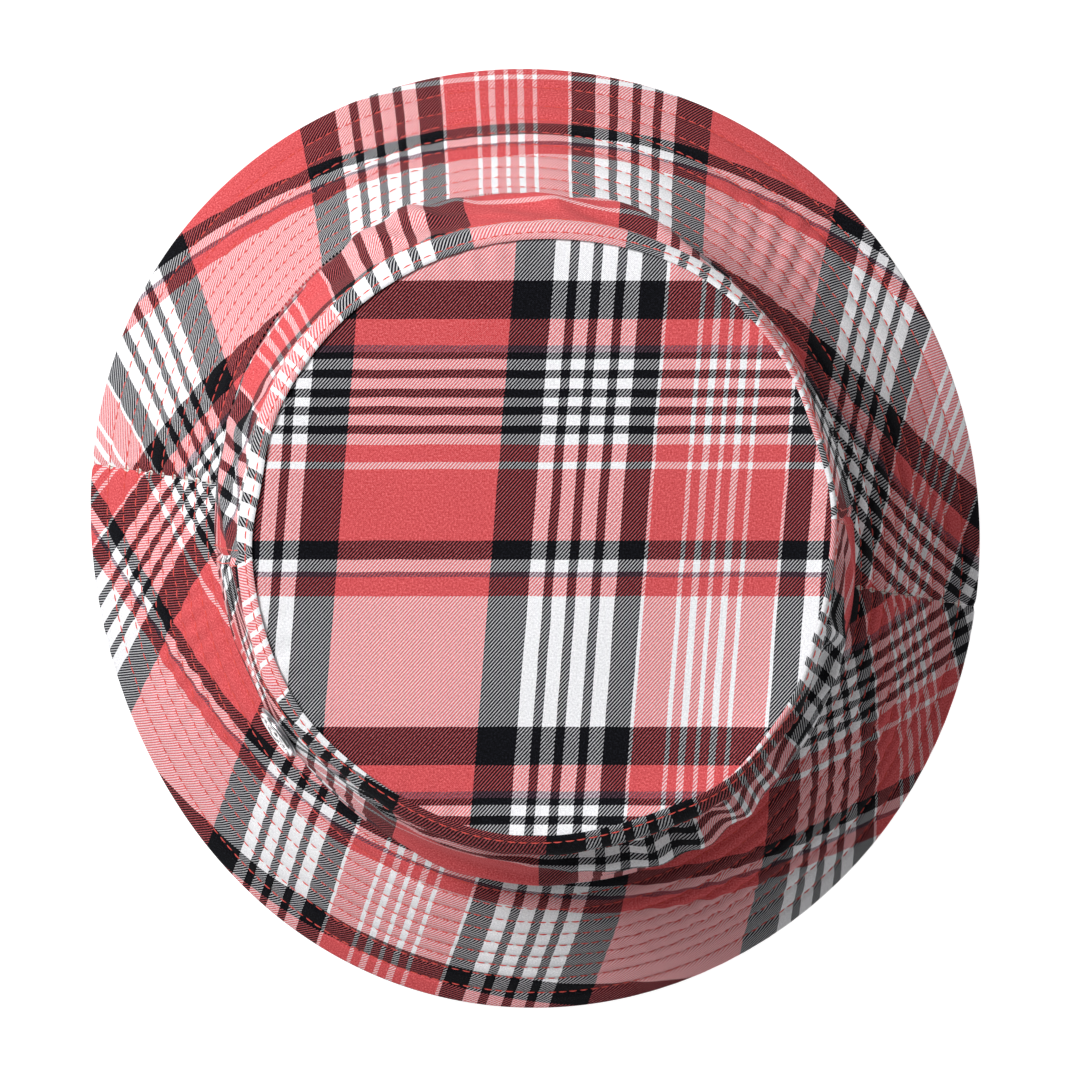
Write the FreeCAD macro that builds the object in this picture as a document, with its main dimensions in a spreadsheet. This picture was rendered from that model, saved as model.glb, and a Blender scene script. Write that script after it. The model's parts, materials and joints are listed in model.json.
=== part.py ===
import FreeCAD, Part
import math
import os

from FreeCAD import Placement, Rotation, Vector

# A six-piece bucket hat of woven check cloth, standing on the edge of its brim.
# +Z is up, the origin is under the middle of the hat, and the wearer faces -Y.
# The hat is an oval cone on an oval cone: the brim spreads down from the head opening, and
# the side band rises from it to the crown tip. Every layer of cloth is a shell between two
# such cones, set in level from the outer face.

UP = Vector(0, 0, 1)

SIZES = [
    # The oval cones. An oval is its mean diameter, plus and minus the oval value.
    ("head_size", 187.0, "mean diameter of the opening, at the seam of brim and side band"),
    ("head_oval", 7.0, "the opening is longer front to back, and narrower, by this"),
    ("tip_size", 157.5, "mean diameter of the crown tip, at its seam"),
    ("tip_oval", 0.5, "the crown tip is longer front to back, and narrower, by this"),
    ("brim_reach", 38.0, "level distance from the opening to the brim's edge"),
    ("brim_drop", 39.0, "height of the opening above the brim's edge"),
    ("band_rise", 74.0, "height of the side band, from the opening to the crown seam"),
    # Layers of cloth, measured level.
    ("twill", 0.8, "outer cloth"),
    ("stiffener", 0.6, "woven stiffener inside the brim"),
    ("lining", 0.5, "crown lining"),
    ("tape", 0.9, "folded sweatband"),
    ("label_cloth", 0.5, "satin of the labels"),
    ("layer_gap", 0.15, "clearance between layers that lie on each other"),
    ("moving_gap", 0.3, "clearance round the hanging label"),
    # Seams.
    ("hem_fold", 0.8, "height of the cloth turned under at the brim's edge"),
    ("allowance", 9.0, "seam allowance pressed up or down inside the crown"),
    ("brim_seam_turn", -5.0, "how far the brim's side seams are turned from the X axis"),
    ("band_seam_turn", 7.5, "how far the band's side seams are turned from the X axis"),
    # Stitching.
    ("thread", 0.3, "how far a row of thread stands off the cloth"),
    ("thread_width", 0.5, "height of a row of thread"),
    ("brim_rows", 9, "rows of topstitching on the brim"),
    ("brim_row_start", 4.6, "height of the outermost brim row"),
    ("brim_row_end", 2.0, "distance from the innermost brim row up to the opening"),
    ("crown_rows", 2, "rows of topstitching under the crown seam"),
    ("crown_row_start", 1.8, "distance from the crown seam down to its first row"),
    ("crown_row_pitch", 5.0, "distance between the rows under the crown seam"),
    ("edge_row", 2.0, "distance of the sweatband's row from its free edge"),
    ("seam_row_offset", 2.2, "distance of the side seam's two rows from the seam"),
    # Inside the crown.
    ("sweatband_width", 28.0, "height of the sweatband"),
    ("join_width", 12.0, "width of the patch over the sweatband's ends"),
    ("woven_label_width", 46.0, "blank label at the centre back"),
    ("woven_label_height", 16.0, "its height"),
    ("woven_label_rise", 36.0, "its lower edge, above the opening"),
    ("size_tab_width", 12.0, "blank size tab above the sweatband"),
    ("size_tab_height", 9.0, "its height"),
    ("size_tab_turn", 52.0, "where it is, round from +X"),
    ("care_width", 26.0, "hanging care label"),
    ("care_length", 34.0, "its length"),
    ("stub_height", 2.0, "height of the care label's sewn end"),
    ("stub_depth", 1.2, "thickness of the care label's sewn end"),
    # Badge on the side band.
    ("badge_size", 14.5, "diameter of the badge"),
    ("badge_depth", 1.2, "its thickness"),
    ("badge_rise", 32.5, "height of its centre above the opening"),
    ("badge_turn", 222.0, "where it is, round from +X"),
    ("badge_holes", 6, "round piercings in the badge"),
    ("badge_hole_size", 2.6, "diameter of a piercing"),
    ("badge_hole_circle", 8.6, "diameter of the circle that the piercings lie on"),
    ("backplate_lip", 0.7, "how far the plate behind the badge shows round it"),
    ("plate", 0.3, "thickness of the plate behind the badge"),
    ("washer_size", 10.0, "diameter of the washer inside the band"),
    ("prong_width", 2.0, "width of a prong"),
    ("prong_depth", 0.4, "thickness of a prong"),
    ("prong_spread", 6.0, "distance between the two prongs"),
    ("prong_bend", 1.6, "length of a prong's bent end"),
]

doc = FreeCAD.newDocument("BucketHat")
sizes = doc.addObject("Spreadsheet::Sheet", "Sizes")
for row, (alias, value, note) in enumerate(SIZES, start=1):
    sizes.set(f"A{row}", alias)
    sizes.set(f"B{row}", str(value))
    sizes.set(f"C{row}", note)
    sizes.setAlias(f"B{row}", alias)
doc.recompute()


def size(alias):
    """The number in the sheet, for what a loop or a placement needs."""
    return float(sizes.get(alias))


# Heights and insets, as expressions on the sheet.
OPENING = "Sizes.brim_drop"
CROWN_SEAM = "(Sizes.brim_drop + Sizes.band_rise)"
LAYER_GAP = "Sizes.layer_gap"
TWILL = "Sizes.twill"
ALLOWANCE_OUT = f"({TWILL} + {LAYER_GAP})"
ALLOWANCE_IN = f"({ALLOWANCE_OUT} + 2 * {TWILL})"
STIFFENER_IN = f"({ALLOWANCE_OUT} + Sizes.stiffener)"
LOWER_OUT = f"({STIFFENER_IN} + {LAYER_GAP})"
BRIM_IN = f"({LOWER_OUT} + {TWILL})"
LINING_OUT = f"({ALLOWANCE_IN} + {LAYER_GAP})"
LINING_IN = f"({LINING_OUT} + Sizes.lining)"
SWEATBAND_OUT = f"({LINING_IN} + {LAYER_GAP})"
SWEATBAND_IN = f"({SWEATBAND_OUT} + Sizes.tape)"
SWEATBAND_LOW = f"({OPENING} + {LAYER_GAP})"
SWEATBAND_TOP = f"({SWEATBAND_LOW} + Sizes.sweatband_width)"
ABOVE_HEM = f"(Sizes.hem_fold + {LAYER_GAP})"


def oval(alias, sign):
    """Half an oval's length (sign +) or half its width (sign -)."""
    return f"(Sizes.{alias}_size {sign} Sizes.{alias}_oval) / 2"


def brim_wall(sign, height, inset):
    """Half length or width of the brim's cone at a height, set in by an inset."""
    return f"{oval('head', sign)} + Sizes.brim_reach * (1 - {height} / {OPENING}) - {inset}"


def band_wall(sign, height, inset):
    """The same for the side band's cone."""
    share = f"({height} - {OPENING}) / Sizes.band_rise"
    return f"{oval('head', sign)} * (1 - {share}) + {oval('tip', sign)} * {share} - {inset}"


def ring(name, wall, height, inset):
    """An oval line round the hat."""
    line = doc.addObject("Part::Ellipse", f"{name}_ring")
    line.Placement = Placement(Vector(0, 0, 0), Rotation(UP, 90))
    line.setExpression("MajorRadius", wall("+", height, inset))
    line.setExpression("MinorRadius", wall("-", height, inset))
    line.setExpression("Placement.Base.z", height)
    return line


def cone(name, wall, low, high, inset):
    """The solid inside a wall, from one height to another."""
    solid = doc.addObject("Part::Loft", f"{name}_cone")
    solid.Sections = [ring(name, wall, low, inset), ring(name, wall, high, inset)]
    solid.Solid = True
    solid.Ruled = True
    return solid


def cut(name, base, tool):
    result = doc.addObject("Part::Cut", name)
    result.Base = base
    result.Tool = tool
    return result


def common(name, base, tool):
    result = doc.addObject("Part::Common", name)
    result.Base = base
    result.Tool = tool
    return result


def fuse(name, pieces):
    result = doc.addObject("Part::MultiFuse", name)
    result.Shapes = pieces
    return result


def group(name, solids):
    """Separate solids that make one sub-part."""
    result = doc.addObject("Part::Compound", name)
    result.Links = solids
    return result


def shell(name, wall, low, high, outer, inner):
    """A layer of cloth between two insets of a wall."""
    return cut(name, cone(name, wall, low, high, outer), cone(name, wall, low, high, inner))


def wedge(name, start, angle):
    """A slice of a tall cylinder round the hat's axis, to cut a length out of a shell."""
    slice_ = doc.addObject("Part::Cylinder", f"{name}_wedge")
    slice_.Placement = Placement(Vector(0, 0, 0), Rotation(UP, 1))
    slice_.setExpression("Placement.Rotation.Angle", start)
    slice_.setExpression("Angle", angle)
    slice_.setExpression("Radius", "Sizes.head_size + Sizes.brim_reach")
    slice_.setExpression("Height", f"2 * {CROWN_SEAM}")
    return slice_


def halves(name, whole, seam_turn):
    """The front and back halves of a shell that is sewn at its two side seams."""
    return {
        "back": common(f"{name}_back", whole, wedge(f"{name}_back", seam_turn, "180")),
        "front": common(f"{name}_front", whole, wedge(f"{name}_front", f"{seam_turn} + 180", "180")),
    }


def patch(name, low, high, outer, inner, turn, width):
    """A piece of the side band's layers, of a width, about a direction round the hat."""
    angle = f"{width} / (Sizes.head_size / 2) * 180 / pi"
    piece = shell(f"{name}_layer", band_wall, low, high, outer, inner)
    return common(name, piece, wedge(name, f"{turn} - {angle} / 2", angle))


parts = []


def sub_part(obj, label=None):
    """Keeps a finished object as a sub-part. Its label names its file."""
    obj.Label = label or obj.Name
    parts.append(obj)
    return obj


# ---- Brim: two shaped layers of twill, sewn at the edge and turned, with a stiffener between.

upper_cloth = cut("upper_cloth", cone("brim_outside", brim_wall, "0", OPENING, "0"),
                  cone("above_hem", brim_wall, "Sizes.hem_fold", OPENING, TWILL))
brim_upper = cut("brim_upper", upper_cloth,
                 cone("hem_opening", brim_wall, "0", "Sizes.hem_fold", BRIM_IN))
brim_lower = fuse("brim_lower", [
    shell("lower_cloth", brim_wall, ABOVE_HEM, OPENING, LOWER_OUT, BRIM_IN),
    shell("collar", band_wall, OPENING, f"({OPENING} + Sizes.allowance)", ALLOWANCE_OUT, ALLOWANCE_IN),
])
brim_stiffener = shell("brim_stiffener", brim_wall, ABOVE_HEM, OPENING, ALLOWANCE_OUT, STIFFENER_IN)
for layer in (brim_upper, brim_lower, brim_stiffener):
    for half in halves(layer.Name, layer, "Sizes.brim_seam_turn").values():
        sub_part(half)

# ---- Crown: the side band in two halves, and the tip with its seam allowance turned down.

side_panel = halves("side_panel", shell("band_cloth", band_wall, OPENING, CROWN_SEAM, "0", TWILL),
                    "Sizes.band_seam_turn")
sub_part(side_panel["back"])

sub_part(fuse("crown_tip", [
    cone("tip_cloth", lambda sign, height, inset: oval("tip", sign),
         CROWN_SEAM, f"({CROWN_SEAM} + {TWILL})", "0"),
    shell("tip_allowance", band_wall, f"({CROWN_SEAM} - Sizes.allowance)", CROWN_SEAM,
          ALLOWANCE_OUT, ALLOWANCE_IN),
]))

# ---- Lining and sweatband.

LINING_TOP = f"({CROWN_SEAM} - Sizes.moving_gap)"
LINING_SEAM = f"({LINING_TOP} - Sizes.lining)"
lining_tip = cone("lining_tip", band_wall, LINING_SEAM, LINING_TOP, LINING_OUT)
sub_part(lining_tip, "lining_tip")
lining_side = shell("lining_side", band_wall, SWEATBAND_LOW, LINING_SEAM, LINING_OUT, LINING_IN)
for half in halves("lining_side", lining_side, "Sizes.band_seam_turn").values():
    sub_part(half)
sub_part(shell("sweatband", band_wall, SWEATBAND_LOW, SWEATBAND_TOP, SWEATBAND_OUT, SWEATBAND_IN))

PATCH_OUT = f"({SWEATBAND_IN} + {LAYER_GAP})"
sub_part(patch("sweatband_join", f"({SWEATBAND_LOW} + 1)", f"({SWEATBAND_TOP} - 2 * Sizes.edge_row)",
               PATCH_OUT, f"({PATCH_OUT} + Sizes.label_cloth)", "90", "Sizes.join_width"))

# ---- Labels. The care label hangs from its sewn end on the wearer's left.

LABEL_IN = f"({SWEATBAND_OUT} + Sizes.label_cloth)"
LABEL_LOW = f"({OPENING} + Sizes.woven_label_rise)"
sub_part(patch("woven_label", LABEL_LOW, f"({LABEL_LOW} + Sizes.woven_label_height)",
               SWEATBAND_OUT, LABEL_IN, "90", "Sizes.woven_label_width"))
TAB_LOW = f"({SWEATBAND_TOP} + {LAYER_GAP})"
sub_part(patch("size_tab", TAB_LOW, f"({TAB_LOW} + Sizes.size_tab_height)",
               SWEATBAND_OUT, LABEL_IN, "Sizes.size_tab_turn", "Sizes.size_tab_width"))

# A flat piece inside a round wall stands off it in the middle by the wall's bow over its width.
BOW = "Sizes.care_width ^ 2 / (4 * Sizes.tip_size)"
STUB_LOW = f"({SWEATBAND_TOP} + Sizes.moving_gap)"
STUB_TOP = f"({STUB_LOW} + Sizes.stub_height)"
STUB_OUT = f"({SWEATBAND_OUT} + {BOW})"
STUB_IN = f"({STUB_OUT} + Sizes.stub_depth)"
CARE_IN = f"({STUB_IN} + Sizes.moving_gap + Sizes.label_cloth)"


def flat_label(name, low, height, inner, depth):
    """A flat upright piece across the X axis, inside the side band."""
    piece = doc.addObject("Part::Box", name)
    piece.setExpression("Length", depth)
    piece.setExpression("Width", "Sizes.care_width")
    piece.setExpression("Height", height)
    piece.setExpression("Placement.Base.x", band_wall("-", STUB_TOP, inner))
    piece.setExpression("Placement.Base.y", "-Sizes.care_width / 2")
    piece.setExpression("Placement.Base.z", low)
    return sub_part(piece)


flat_label("care_label_stub", STUB_LOW, "Sizes.stub_height", STUB_IN, "Sizes.stub_depth")
flat_label("care_label", f"({STUB_TOP} - Sizes.care_length)", "Sizes.care_length", CARE_IN,
           "Sizes.label_cloth")

# ---- Stitching: each row is one thread that lies on the cloth, outside it or inside it.

THREAD_OUT = f"(-{LAYER_GAP} - Sizes.thread)"
THREAD_IN = f"(-{LAYER_GAP})"


def thread_row(name, wall, height, outer=THREAD_OUT, inner=THREAD_IN):
    return shell(name, wall, height, f"({height} + Sizes.thread_width)", outer, inner)


def inside_row(name, wall, height, cloth):
    """A row on the inner face of the cloth that lies at an inset."""
    return thread_row(name, wall, height, f"({cloth} + {LAYER_GAP})",
                      f"({cloth} + {LAYER_GAP} + Sizes.thread)")


row_count = int(size("brim_rows"))
ROW_PITCH = f"({OPENING} - Sizes.brim_row_start - Sizes.brim_row_end) / {row_count - 1}"
row_heights = [f"(Sizes.brim_row_start + {row} * {ROW_PITCH})" for row in range(row_count)]
sub_part(group("brim_topstitch", [
    thread_row(f"brim_row_{row}", brim_wall, height)
    for row, height in enumerate(row_heights)
]))
sub_part(group("brim_understitch", [
    inside_row(f"under_row_{row}", brim_wall, height, BRIM_IN)
    for row, height in enumerate(row_heights)
]))
sub_part(group("crown_topstitch", [
    thread_row(f"crown_row_{row}", band_wall,
               f"({CROWN_SEAM} - Sizes.crown_row_start - {row} * Sizes.crown_row_pitch)")
    for row in range(int(size("crown_rows")))
]))
sub_part(inside_row("sweatband_stitch", band_wall, f"({SWEATBAND_TOP} - Sizes.edge_row)",
                    SWEATBAND_IN))

SEAM_ROW_TOP = f"({CROWN_SEAM} - Sizes.crown_row_start - {size('crown_rows'):g} * Sizes.crown_row_pitch)"
seam_rows = []
for seam, opposite in (("right", "0"), ("left", "180")):
    for side, sign in (("ahead", "-"), ("behind", "+")):
        shift = f"{sign} Sizes.seam_row_offset / (Sizes.head_size / 2) * 180 / pi"
        seam_rows.append(patch(f"seam_row_{seam}_{side}", f"({OPENING} + 1)", SEAM_ROW_TOP,
                               THREAD_OUT, THREAD_IN,
                               f"Sizes.band_seam_turn + {opposite} {shift}", "Sizes.thread_width"))
sub_part(group("side_seam_topstitch", seam_rows))

# ---- Badge: a pierced disc on a plate, held by two prongs bent over a washer inside the band.
# It is drawn lying on the band's outer face, with its own +Z pointing out of the hat.


def badge_place():
    """Where the badge lies: its middle on the band, its own Z out of the cloth, its X level."""
    rise = size("badge_rise") / size("band_rise")
    half = {}
    slope = {}
    for axis, sign in (("x", -1), ("y", 1)):
        opening = (size("head_size") + sign * size("head_oval")) / 2
        tip = (size("tip_size") + sign * size("tip_oval")) / 2
        half[axis] = opening + (tip - opening) * rise
        slope[axis] = (tip - opening) / size("band_rise")
    turn = math.radians(size("badge_turn"))
    reach = 1 / math.hypot(math.cos(turn) / half["x"], math.sin(turn) / half["y"])
    x, y = reach * math.cos(turn), reach * math.sin(turn)
    out = Vector(x / half["x"] ** 2, y / half["y"] ** 2,
                 -(x ** 2) * slope["x"] / half["x"] ** 3 - (y ** 2) * slope["y"] / half["y"] ** 3)
    out.normalize()
    level = UP.cross(out)
    level.normalize()
    middle = Vector(x, y, size("brim_drop") + size("badge_rise"))
    return Placement(middle, Rotation(level, out.cross(level), out, "ZXY"))


def disc(name, across, depth, base):
    solid = doc.addObject("Part::Cylinder", name)
    solid.setExpression("Radius", f"{across} / 2")
    solid.setExpression("Height", depth)
    solid.setExpression("Placement.Base.z", base)
    return solid


def prong_box(name, side, length, base, spare="0", foot="0"):
    """A flat bar across the badge at one prong. Foot makes it reach outwards by the bent end."""
    bar = doc.addObject("Part::Box", name)
    depth = f"(Sizes.prong_depth + 2 * {spare})"
    bar.setExpression("Width", f"Sizes.prong_width + 2 * {spare}")
    bar.setExpression("Placement.Base.y", f"-Sizes.prong_width / 2 - {spare}")
    bar.setExpression("Length", f"{depth} + {foot}")
    bar.setExpression("Height", length)
    bar.setExpression("Placement.Base.z", base)
    start = {"left": f"-Sizes.prong_spread / 2 - {depth} / 2 - {foot}",
             "right": f"Sizes.prong_spread / 2 - {depth} / 2"}[side]
    bar.setExpression("Placement.Base.x", start)
    return bar


# Levels along the badge's own axis. The band's bow under a disc keeps its layers apart.
PLATE_OUT = f"({LAYER_GAP} + Sizes.plate)"
BADGE_BASE = f"({PLATE_OUT} + {LAYER_GAP})"
WASHER_BOW = "Sizes.washer_size ^ 2 / (4 * Sizes.tip_size)"
WASHER_TOP = f"(-{TWILL} - {WASHER_BOW} - {LAYER_GAP})"
WASHER_LOW = f"({WASHER_TOP} - Sizes.plate)"
FOOT_TOP = f"({WASHER_LOW} - {LAYER_GAP} / 2)"
FOOT_LOW = f"({FOOT_TOP} - Sizes.prong_depth)"
SIDES = ("left", "right")


def slots(name, low, high):
    """The cuts that let both prongs through a layer."""
    return fuse(name, [prong_box(f"{name}_{side}", side, f"{high} - {low}", low, spare=LAYER_GAP)
                       for side in SIDES])


piercings = []
for hole in range(int(size("badge_holes"))):
    step = 2 * math.pi * hole / size("badge_holes")
    drill = disc(f"piercing_{hole}", "Sizes.badge_hole_size", "2 * Sizes.badge_depth", "0")
    drill.setExpression("Placement.Base.x", f"Sizes.badge_hole_circle / 2 * {math.cos(step):.9f}")
    drill.setExpression("Placement.Base.y", f"Sizes.badge_hole_circle / 2 * {math.sin(step):.9f}")
    piercings.append(drill)
pierced = cut("pierced_disc", disc("badge_disc", "Sizes.badge_size", "Sizes.badge_depth", BADGE_BASE),
              fuse("piercings", piercings))
prongs = []
for side in SIDES:
    prongs.append(prong_box(f"leg_{side}", side, f"{BADGE_BASE} - {FOOT_LOW}", FOOT_LOW))
    prongs.append(prong_box(f"foot_{side}", side, "Sizes.prong_depth", FOOT_LOW, foot="Sizes.prong_bend"))
badge = sub_part(fuse("badge", [pierced, *prongs]))

backplate = sub_part(cut("badge_backplate",
                         disc("backplate_disc", "(Sizes.badge_size + 2 * Sizes.backplate_lip)",
                              "Sizes.plate", LAYER_GAP),
                         slots("backplate_slots", "0", BADGE_BASE)))
washer = sub_part(cut("badge_washer", disc("washer_disc", "Sizes.washer_size", "Sizes.plate", WASHER_LOW),
                      slots("washer_slots", FOOT_TOP, WASHER_TOP)))
band_slots = slots("band_slots", WASHER_TOP, LAYER_GAP)
for piece in (badge, backplate, washer, band_slots):
    piece.Placement = badge_place()

sub_part(cut("side_panel_front_slotted", side_panel["front"], band_slots))
side_panel["front"].Label = "front_panel_before_slots"
parts[-1].Label = "side_panel_front"

# ---- Build, test and write.

doc.recompute()
for obj in doc.Objects:
    if {"Invalid", "Error"} & set(obj.State):
        raise RuntimeError(f"{obj.Name} failed: {obj.State}")

os.makedirs("parts", exist_ok=True)
for part in parts:
    shape = part.Shape
    if shape.isNull() or not shape.isValid():
        raise RuntimeError(f"{part.Label} has no valid shape")
    shape.exportStep(os.path.join("parts", f"{part.Label}.step"))
    box = shape.optimalBoundingBox(False)
    print(f"{part.Label:24s} solids {len(shape.Solids):2d}  volume {shape.Volume:9.1f}  "
          f"box {box.XLength:6.1f} {box.YLength:6.1f} {box.ZLength:6.1f}  from z {box.ZMin:6.2f}")
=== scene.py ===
# %% [markdown]
# # A check bucket hat, layer by layer
# The hat is cut from one yarn-dyed twill: a round tip, a side band in two halves and a quilted brim in two
# halves. Each panel is made here the way a hatter makes it: it is cut flat, which fixes where the checks
# fall, and then laid on the form. The flat cut is kept as the panel's UV map, in metres of cloth.

# %% Load the frame
import json
import math
import random

import bpy
import numpy as np
from mathutils import Matrix, Vector

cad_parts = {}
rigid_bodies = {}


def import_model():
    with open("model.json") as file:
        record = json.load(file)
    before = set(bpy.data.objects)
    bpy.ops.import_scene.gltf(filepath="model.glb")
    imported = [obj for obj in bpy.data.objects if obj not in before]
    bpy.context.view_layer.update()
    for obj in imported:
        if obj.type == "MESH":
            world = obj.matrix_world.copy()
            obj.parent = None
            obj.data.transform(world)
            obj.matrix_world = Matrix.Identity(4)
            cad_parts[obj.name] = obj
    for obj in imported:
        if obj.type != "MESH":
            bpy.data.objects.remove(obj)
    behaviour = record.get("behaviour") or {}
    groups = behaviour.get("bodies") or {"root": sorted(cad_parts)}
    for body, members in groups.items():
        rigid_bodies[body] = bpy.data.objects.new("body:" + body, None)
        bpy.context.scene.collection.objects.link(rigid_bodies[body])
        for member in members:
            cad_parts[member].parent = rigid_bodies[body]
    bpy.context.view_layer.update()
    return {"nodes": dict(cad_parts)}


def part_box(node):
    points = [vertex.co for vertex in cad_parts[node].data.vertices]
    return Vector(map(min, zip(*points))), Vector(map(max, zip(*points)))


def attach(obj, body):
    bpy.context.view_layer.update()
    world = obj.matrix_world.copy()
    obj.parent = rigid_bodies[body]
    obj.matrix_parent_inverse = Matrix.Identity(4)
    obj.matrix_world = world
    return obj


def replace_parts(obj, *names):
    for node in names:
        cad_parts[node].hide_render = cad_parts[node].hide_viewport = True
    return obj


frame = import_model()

random.seed(7)
MM = 0.001
TURN = 2 * math.pi

# %% [markdown]
# ## Camera, floor and light
# The hat stands on the edge of its brim and is seen from straight above. A long lens keeps the sides of the
# crown narrow. A soft lamp at the upper left models the folds, a wide weak one overhead lifts the tip, and a
# faint sky fills the shadows.

# %% Camera
HAT_TURN = math.radians(4.2)
VIEW_CENTRE = (1.82 * MM, -1.3 * MM)
VIEW_HEIGHT = 1.3
LENS = 151.5

camera_data = bpy.data.cameras.new("camera")
camera_data.lens = LENS
camera_data.sensor_width = 36
camera = bpy.data.objects.new("camera", camera_data)
camera.location = (*VIEW_CENTRE, VIEW_HEIGHT)
camera.rotation_euler = (0, 0, HAT_TURN)
bpy.context.scene.collection.objects.link(camera)
bpy.context.scene.camera = camera
bpy.context.scene.view_settings.view_transform = "Standard"
print("camera", VIEW_HEIGHT, "m above the floor")


# %% Lamps and sky
def area_lamp(name, place, size, power):
    """A square soft lamp that faces the middle of the hat, half-way up its side."""
    data = bpy.data.lights.new(name, "AREA")
    data.energy = power
    data.size = size
    lamp = bpy.data.objects.new(name, data)
    lamp.location = place
    lamp.rotation_euler = (Vector((0, 0, 0.05)) - lamp.location).to_track_quat("-Z", "Y").to_euler()
    bpy.context.scene.collection.objects.link(lamp)


area_lamp("key_lamp", (-0.78, 0.42, 1.2), 0.5, 23.8)
area_lamp("top_lamp", (0.0, 0.0, 1.9), 1.2, 4.2)
sky = bpy.data.worlds.new("sky")
bpy.context.scene.world = sky
sky.use_nodes = True
sky.node_tree.nodes["Background"].inputs["Color"].default_value = (1, 1, 1, 1)
sky.node_tree.nodes["Background"].inputs["Strength"].default_value = 0.14


# %% [markdown]
# ## A small kit for node materials
# Every finish below is a few nodes on one Principled shader. This helper adds a node, sets its plain values
# and links its inputs, so that each recipe reads from top to bottom.

# %% Node helpers
class Recipe:
    """A material whose nodes are added one line at a time."""

    def __init__(self, name, roughness, metallic=0.0, sheen=0.0, gloss=0.2):
        self.material = bpy.data.materials.new(name)
        self.material.use_nodes = True
        self.tree = self.material.node_tree
        self.shader = self.tree.nodes["Principled BSDF"]
        self.shader.inputs["Roughness"].default_value = roughness
        self.shader.inputs["Metallic"].default_value = metallic
        self.shader.inputs["Sheen Weight"].default_value = sheen
        self.shader.inputs["Sheen Roughness"].default_value = 0.45
        self.shader.inputs["Specular IOR Level"].default_value = 0.5 if metallic else gloss

    def add(self, kind, inputs=(), **settings):
        """A node of that kind. Inputs are numbers, colours or the outputs of other nodes."""
        node = self.tree.nodes.new(kind)
        for key, value in settings.items():
            setattr(node, key, value)
        for index, value in inputs:
            if hasattr(value, "is_output"):
                self.tree.links.new(value, node.inputs[index])
            else:
                node.inputs[index].default_value = value
        return node

    def maths(self, operation, *values):
        """The result of one sum on one to three values."""
        return self.add("ShaderNodeMath", list(enumerate(values)), operation=operation).outputs[0]

    def mix(self, share, first, second, blend_type="MIX"):
        """Two colours mixed by a share."""
        node = self.add("ShaderNodeMix", [(0, share), (6, first), (7, second)],
                        data_type="RGBA", blend_type=blend_type)
        return node.outputs[2]

    def noise(self, where, scale, detail=2.0):
        """Soft random cloudiness between 0 and 1."""
        return self.add("ShaderNodeTexNoise", [("Vector", where), ("Scale", scale),
                                               ("Detail", detail)]).outputs["Fac"]

    def span(self, value, low, high):
        """Maps 0 to 1 onto low to high."""
        return self.maths("MULTIPLY_ADD", value, high - low, low)

    def shaded(self, colour, shade):
        """The colour made lighter or darker by a number around 1."""
        grey = self.add("ShaderNodeCombineColor", [(0, shade), (1, shade), (2, shade)]).outputs[0]
        return self.mix(1.0, colour, grey, "MULTIPLY")

    def finish(self, colour=None, height=None, depth=0.0):
        """Joins the colour and the bump to the shader."""
        if colour is not None:
            self.tree.links.new(colour, self.shader.inputs["Base Color"])
        if height is not None:
            bump = self.add("ShaderNodeBump", [("Height", height), ("Distance", depth), ("Strength", 1.0)])
            self.tree.links.new(bump.outputs[0], self.shader.inputs["Normal"])
        return self.material


print("node helpers ready")

# %% [markdown]
# ## The check twill
# Yarn-dyed cloth is a row of coloured stripes along the warp crossed by another row along the weft. Where
# they cross, a 2/2 twill shows half of each yarn in fine diagonal lines. So the cloth is two colour ramps
# with hard steps, and a diagonal that picks between them: no picture of a check is needed. The warp sett
# runs out and back again, so it reads a ping-pong; the weft sett simply repeats.

# %% The sett: stripe colours and widths in millimetres of cloth
YARNS = {
    "white": (0.90, 0.90, 0.92, 1),
    "black": (0.006, 0.0065, 0.010, 1),
    "red": (0.71, 0.135, 0.145, 1),
    "mauve": (0.17, 0.085, 0.12, 1),
}
WARP = [("red", 20.0), ("black", 10.3), ("white", 3.8), ("black", 2.4), ("white", 3.8), ("black", 2.5),
        ("white", 3.9), ("black", 2.3), ("white", 3.9), ("black", 6.8), ("white", 0.9), ("red", 8.6),
        ("white", 1.3), ("red", 2.4), ("white", 1.7), ("red", 2.3), ("white", 0.9)]
WEFT = [("black", 10.0), ("red", 6.8), ("mauve", 1.5), ("black", 2.2), ("white", 2.5), ("black", 2.4),
        ("white", 2.5), ("black", 2.3), ("white", 2.5), ("black", 2.3), ("white", 2.5), ("black", 2.4),
        ("white", 2.7), ("red", 4.7), ("white", 1.5), ("red", 18.7), ("black", 5.0), ("white", 3.3),
        ("mauve", 1.5), ("red", 4.9), ("white", 34.5)]
WARP_HALF = sum(width for _, width in WARP) * MM
WEFT_REPEAT = sum(width for _, width in WEFT) * MM
RIB_ACROSS = 0.94 * MM
RIB_ALONG = 1.15 * MM
# How much a light yarn is narrowed beside a dark one: painted shade between the yarns.
YARN_SHADE_SPREAD = 0.34
print("warp half repeat", round(WARP_HALF / MM, 1), "mm, weft repeat", round(WEFT_REPEAT / MM, 1), "mm")


# %% The cloth recipe
def stripe_ramp(recipe, position, stripes):
    """A stepped ramp of the stripes, read at a position between 0 and 1."""
    node = recipe.add("ShaderNodeValToRGB", [(0, position)])
    ramp = node.color_ramp
    ramp.interpolation = "CONSTANT"
    total = sum(width for _, width in stripes)
    start = 0.0
    for index, (yarn, width) in enumerate(stripes):
        element = ramp.elements[index] if index < 2 else ramp.elements.new(start / total)
        element.position = start / total
        element.color = YARNS[yarn]
        start += width
    return node.outputs["Color"]


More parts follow.
